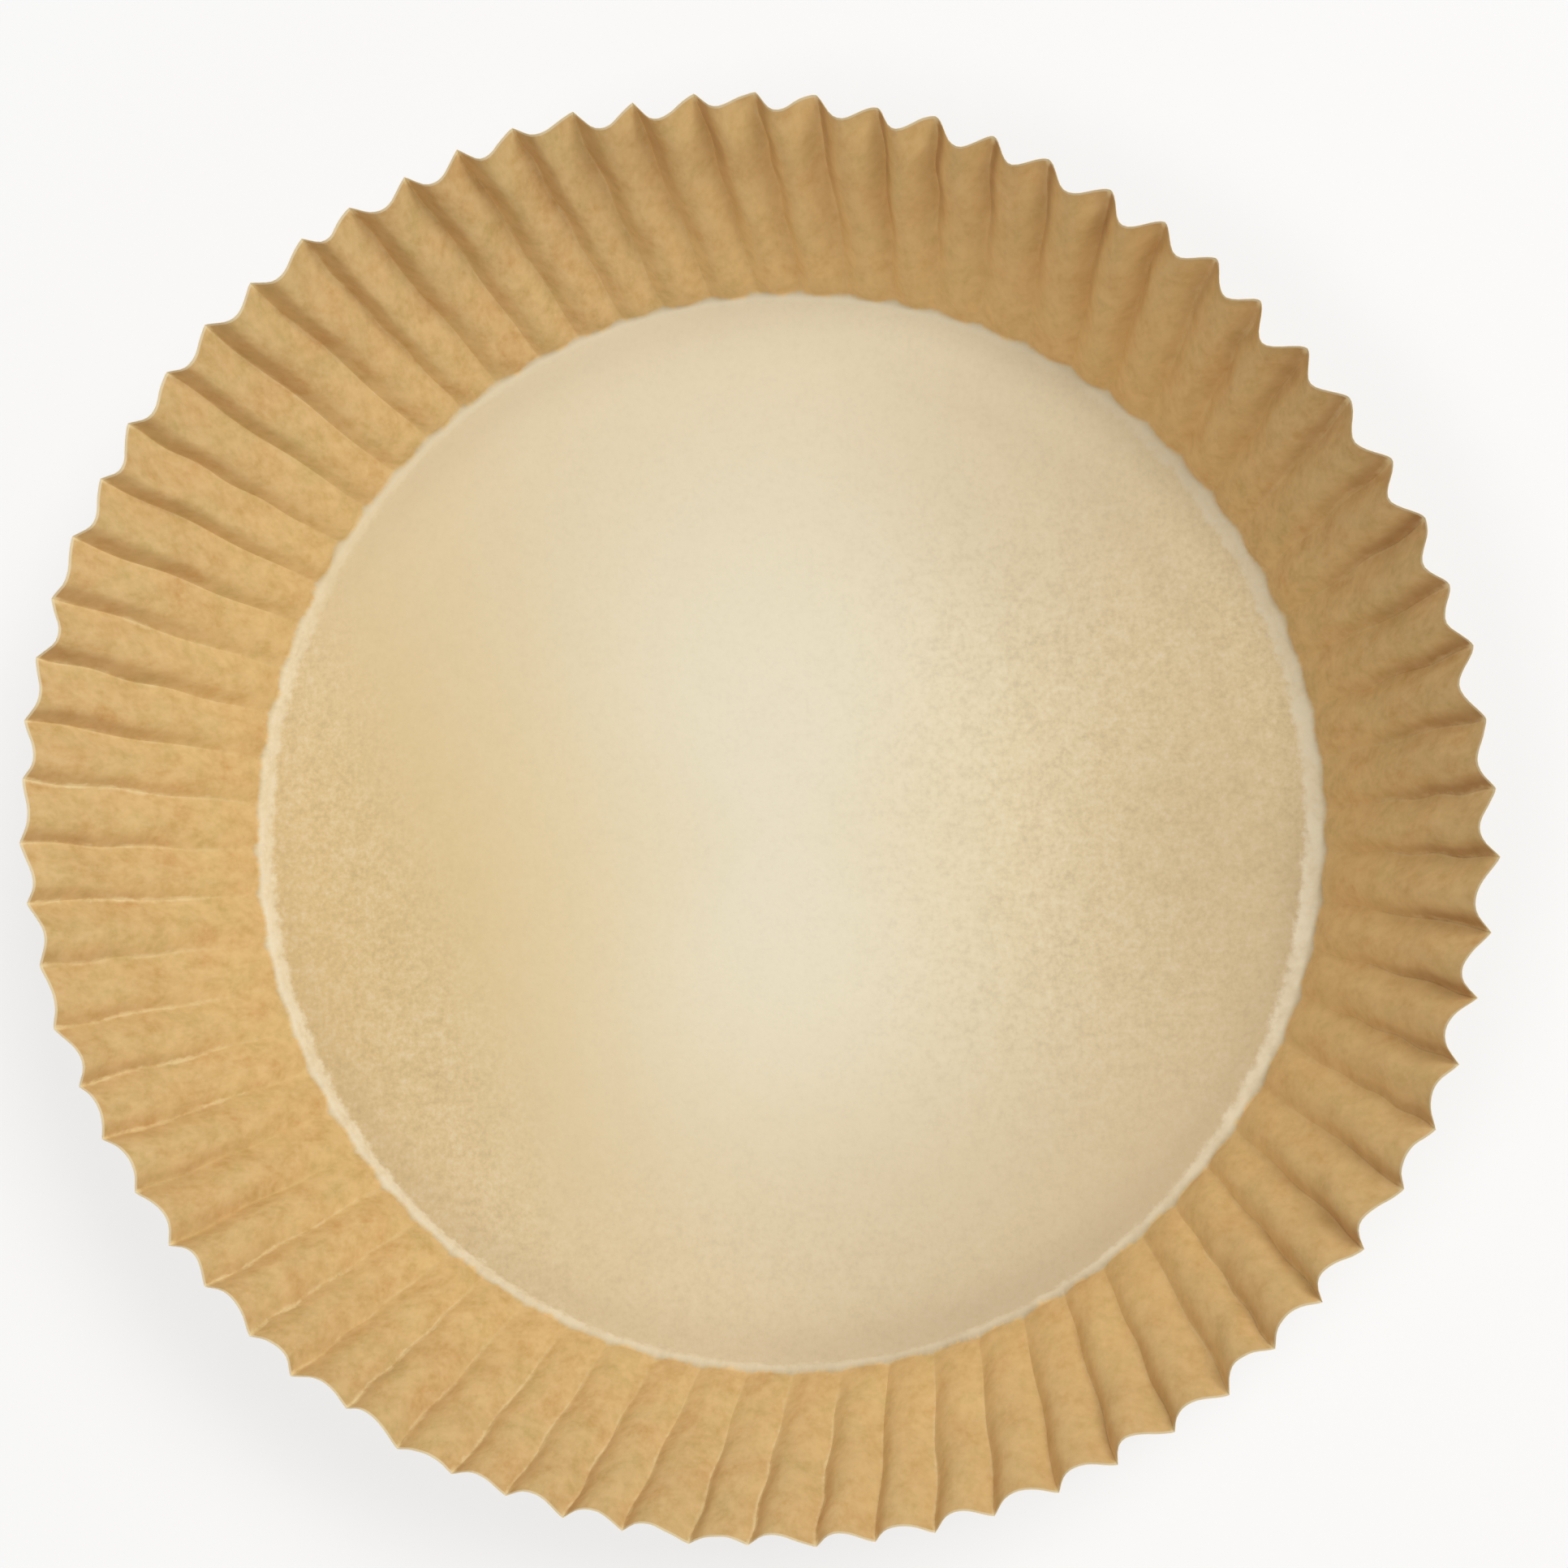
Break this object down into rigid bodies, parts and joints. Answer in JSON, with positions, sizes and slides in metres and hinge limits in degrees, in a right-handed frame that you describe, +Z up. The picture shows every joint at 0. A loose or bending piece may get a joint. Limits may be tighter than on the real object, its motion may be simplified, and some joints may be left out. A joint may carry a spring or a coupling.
{
  "type": "air fryer paper liner",
  "caption": "Round kraft paper liner for an air fryer basket: a flat floor and a flared wall of fine pleats, pressed in one piece from a flat disc.",
  "frame": {"origin": "middle of the underside of the flat floor, on the surface that the liner stands on", "axes": "+Z up along the liner's axis, out of its open top; +X through one of the outward folds"},
  "size_m": [0.2, 0.2, 0.0447],
  "materials": {
    "kraft_paper": "matte, with a fine fibre grain and a faint greaseproof sheen"
  },
  "bodies": {
    "root": {"liner": "kraft_paper"}
  },
  "joints": []
}
